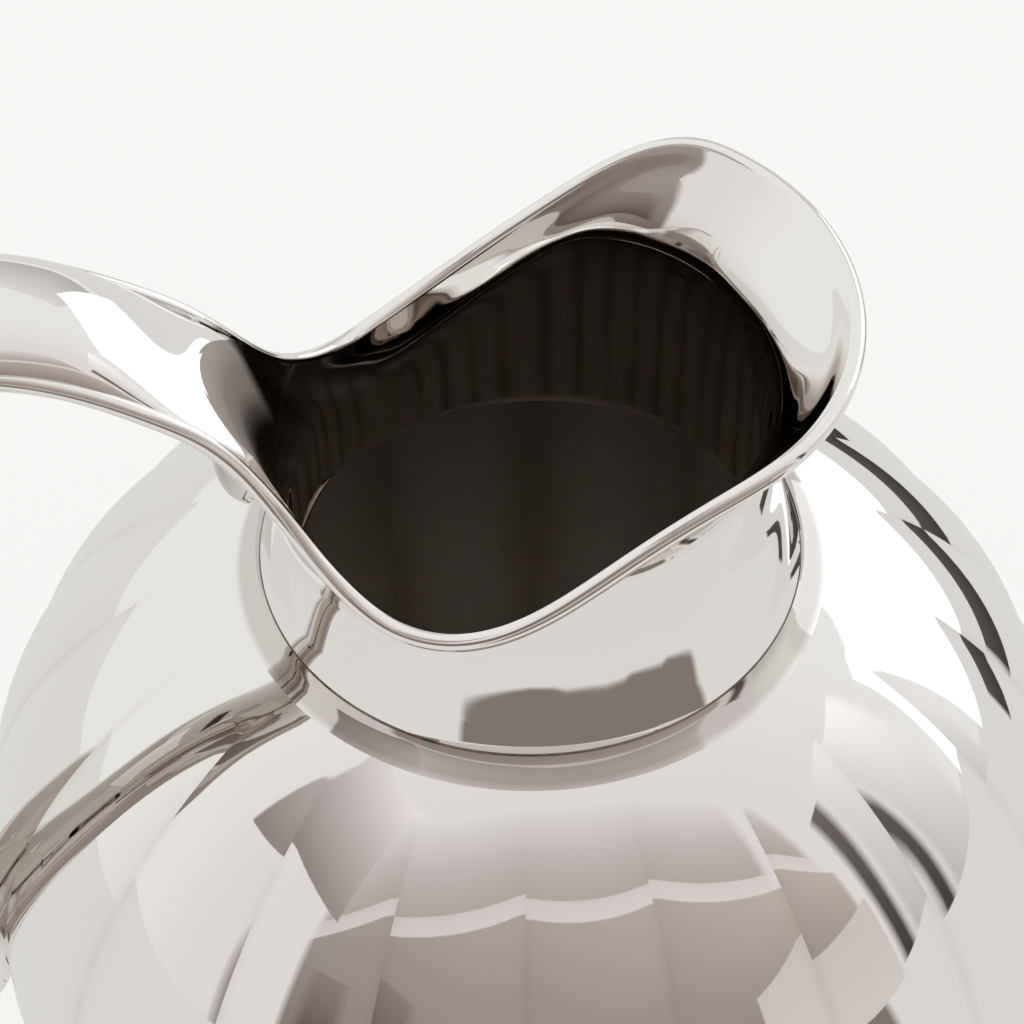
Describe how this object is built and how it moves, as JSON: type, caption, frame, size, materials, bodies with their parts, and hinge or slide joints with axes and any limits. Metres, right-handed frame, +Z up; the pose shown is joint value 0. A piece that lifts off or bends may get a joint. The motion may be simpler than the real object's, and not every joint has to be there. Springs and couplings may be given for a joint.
{
  "type": "water pitcher",
  "caption": "Polished silver water pitcher with a lobed round body, a saddle-shaped rim, a broad pouring lip and one loop handle.",
  "frame": {"origin": "centre of the foot's underside, on the body's axis", "axes": "+Z up along the body's axis, +X towards the pouring lip, -X towards the handle"},
  "size_m": [0.2049, 0.164, 0.195],
  "materials": {
    "polished_silver": "polished",
    "dark_solder": "dull"
  },
  "bodies": {
    "root": {"body_bowl": "polished_silver", "neck_collar": "polished_silver", "neck_solder_bead": "dark_solder", "rim_wire": "polished_silver", "handle_outer_half": "polished_silver", "handle_inner_half": "polished_silver", "base_disc": "polished_silver", "foot_ring": "polished_silver"}
  },
  "joints": []
}
